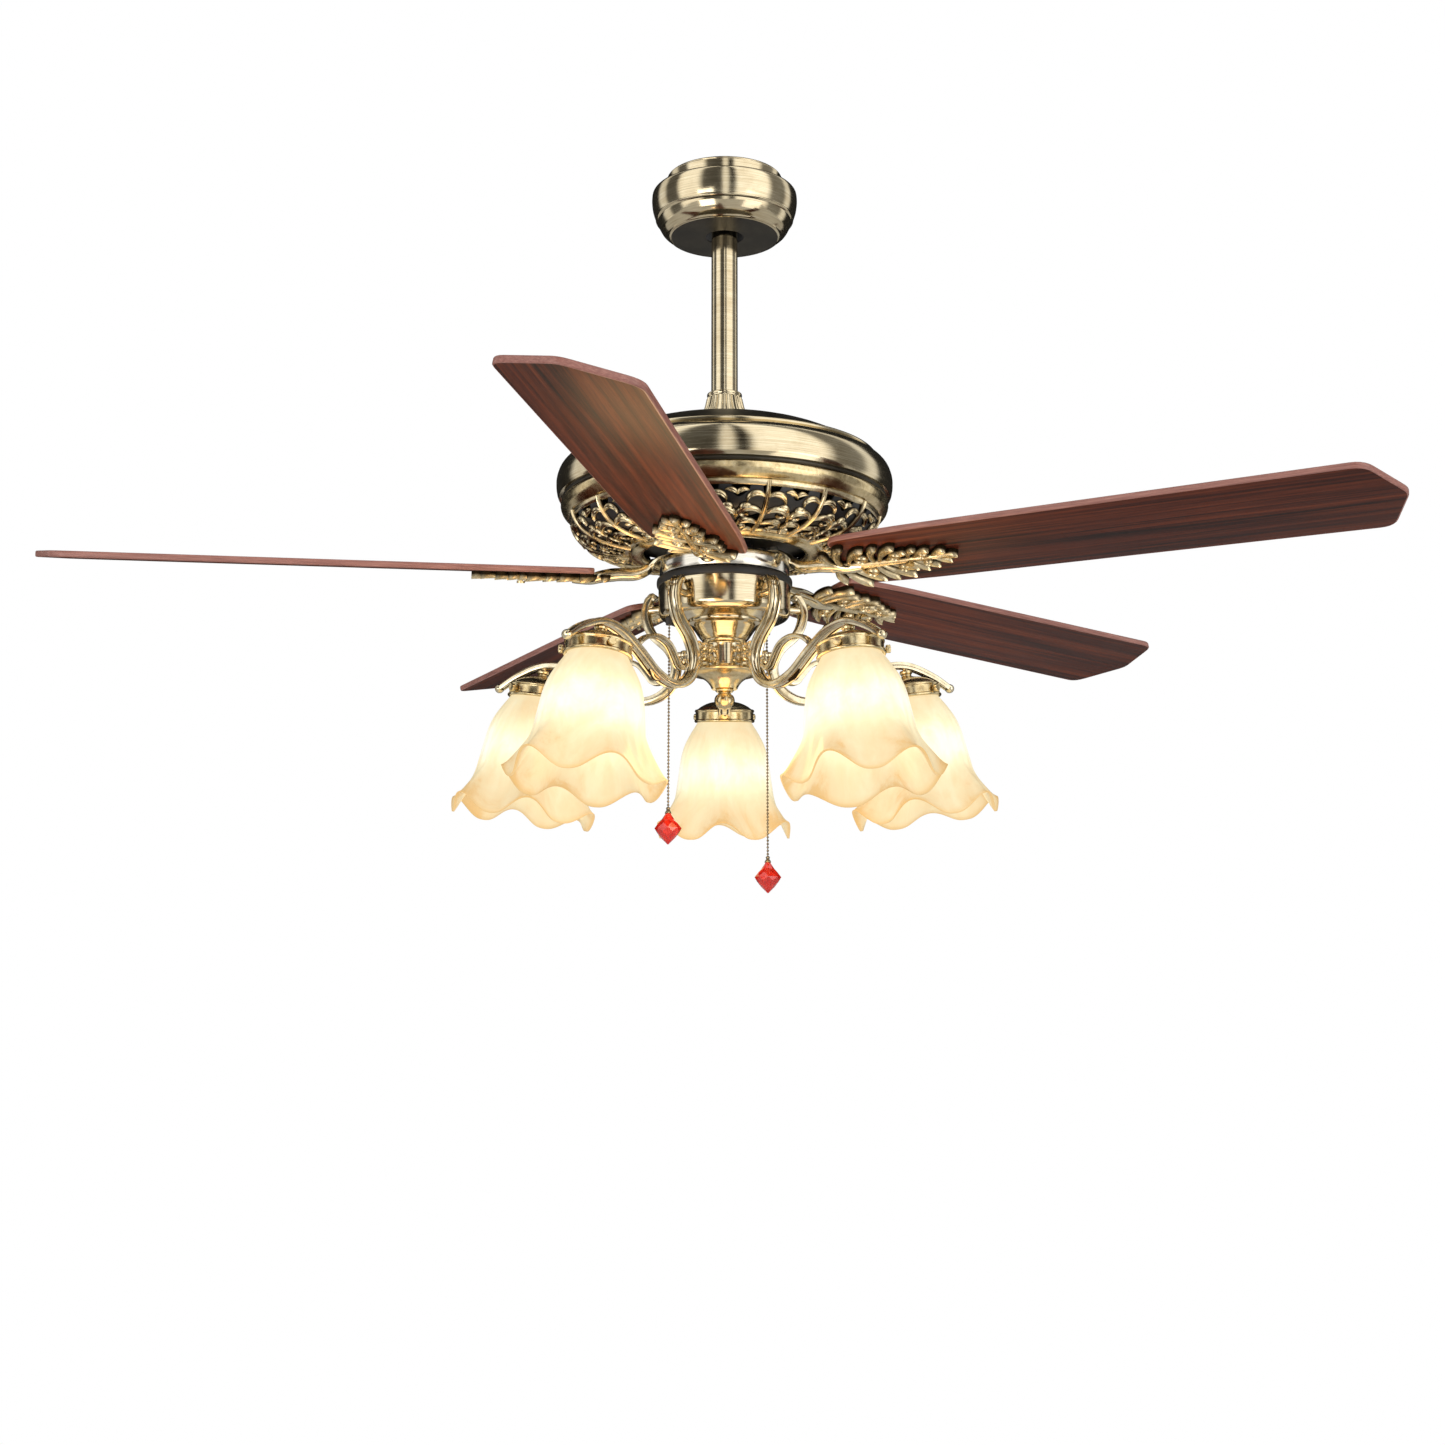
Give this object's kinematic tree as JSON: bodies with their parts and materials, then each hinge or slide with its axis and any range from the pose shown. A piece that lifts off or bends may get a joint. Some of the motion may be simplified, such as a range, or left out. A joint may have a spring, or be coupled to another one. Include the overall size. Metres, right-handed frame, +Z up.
{
  "type": "ceiling fan with light",
  "caption": "Ceiling fan on a downrod with wood blades on leaf irons, a pierced motor housing, and a ring of scroll arms with ruffled glass shades and pull chains.",
  "frame": {"origin": "centre of the hanger bracket's top face, on the ceiling and on the fan's axis", "axes": "+Z up into the ceiling, -Y towards the front of the fan as it is usually seen, +X to the right"},
  "size_m": [1.2414, 1.247, 0.728],
  "materials": {
    "antique_brass": "brushed antique brass, darkened in the hollows",
    "gilt_brass": "cast brass with gilt high spots over black",
    "polished_gold": "polished pale gold plating",
    "dark_bronze": "dark bronze, satin",
    "pale_nickel": "spun pale nickel",
    "zinc_steel": "zinc-plated steel",
    "lamination_steel": "stacked steel sheet, varnished",
    "copper_winding": "enamelled copper wire",
    "black_enamel": "black satin enamel",
    "black_rubber": "moulded black rubber",
    "black_nylon": "moulded black nylon",
    "white_ceramic": "glazed white ceramic",
    "lamp_glass": "opal lamp glass, lit",
    "amber_glass": "cream and amber alabaster glass, lit from inside",
    "dark_walnut": "reddish dark wood veneer with lengthwise grain, satin lacquer",
    "chain_metal": "antique brass ball chain",
    "red_crystal": "cut red glass"
  },
  "bodies": {
    "ceiling_mount": {"hanger_bracket": "zinc_steel", "canopy": "antique_brass", "canopy_screws": "antique_brass"},
    "fan_frame": {"hanger_ball": "black_nylon", "rod_pins": "zinc_steel", "downrod": "antique_brass", "rod_cover": "antique_brass", "motor_yoke": "zinc_steel", "motor_shaft": "zinc_steel", "motor_bearings": "zinc_steel", "stator_core": "lamination_steel", "stator_windings": "copper_winding", "housing_cap": "dark_bronze", "housing_drum": "antique_brass", "bead_ring": "gilt_brass", "housing_filigree": "gilt_brass", "trim_ring": "gilt_brass", "housing_screws": "zinc_steel", "switch_plate": "zinc_steel", "gasket_ring": "black_rubber", "light_cup": "antique_brass", "light_column": "antique_brass", "bottom_cap": "gilt_brass", "finial": "gilt_brass", "pull_switches": "black_nylon", "run_capacitor": "black_nylon", "fitters": "gilt_brass", "thumb_screws": "gilt_brass", "lamp_sockets": "white_ceramic", "bulbs": "lamp_glass", "arm_1": "polished_gold", "arm_2": "polished_gold", "arm_3": "polished_gold", "arm_4": "polished_gold", "arm_5": "polished_gold", "shade_1": "amber_glass", "shade_2": "amber_glass", "shade_3": "amber_glass", "shade_4": "amber_glass", "shade_5": "amber_glass"},
    "rotor": {"rotor_upper": "black_enamel", "rotor_lower": "black_enamel", "rotor_core": "lamination_steel", "flywheel": "pale_nickel", "iron_screws": "zinc_steel", "blade_screws": "gilt_brass", "blade_iron_1": "gilt_brass", "blade_iron_2": "gilt_brass", "blade_iron_3": "gilt_brass", "blade_iron_4": "gilt_brass", "blade_iron_5": "gilt_brass", "blade_1": "dark_walnut", "blade_2": "dark_walnut", "blade_3": "dark_walnut", "blade_4": "dark_walnut", "blade_5": "dark_walnut"},
    "fan_pull": {"fan_chain": "chain_metal", "fan_pendant": "red_crystal"},
    "light_pull": {"light_chain": "chain_metal", "light_pendant": "red_crystal"}
  },
  "joints": [
    {"name": "downrod_swing", "type": "hinge", "parent": "ceiling_mount", "child": "fan_frame", "pos_m": [0, 0, -0.0228], "axis": [0, 1, 0], "range_deg": [-8, 8]},
    {"name": "blade_rotation", "type": "hinge", "parent": "fan_frame", "child": "rotor", "pos_m": [0, 0, -0.36], "axis": [0, 0, 1], "continuous": true},
    {"name": "fan_switch_pull", "type": "slide", "parent": "fan_frame", "child": "fan_pull", "axis": [0, 0, -1], "range_m": [0, 0.008], "stiffness_N_per_m": 600, "springref_m": -0.001},
    {"name": "light_switch_pull", "type": "slide", "parent": "fan_frame", "child": "light_pull", "axis": [0, 0, -1], "range_m": [0, 0.008], "stiffness_N_per_m": 600, "springref_m": -0.001}
  ]
}
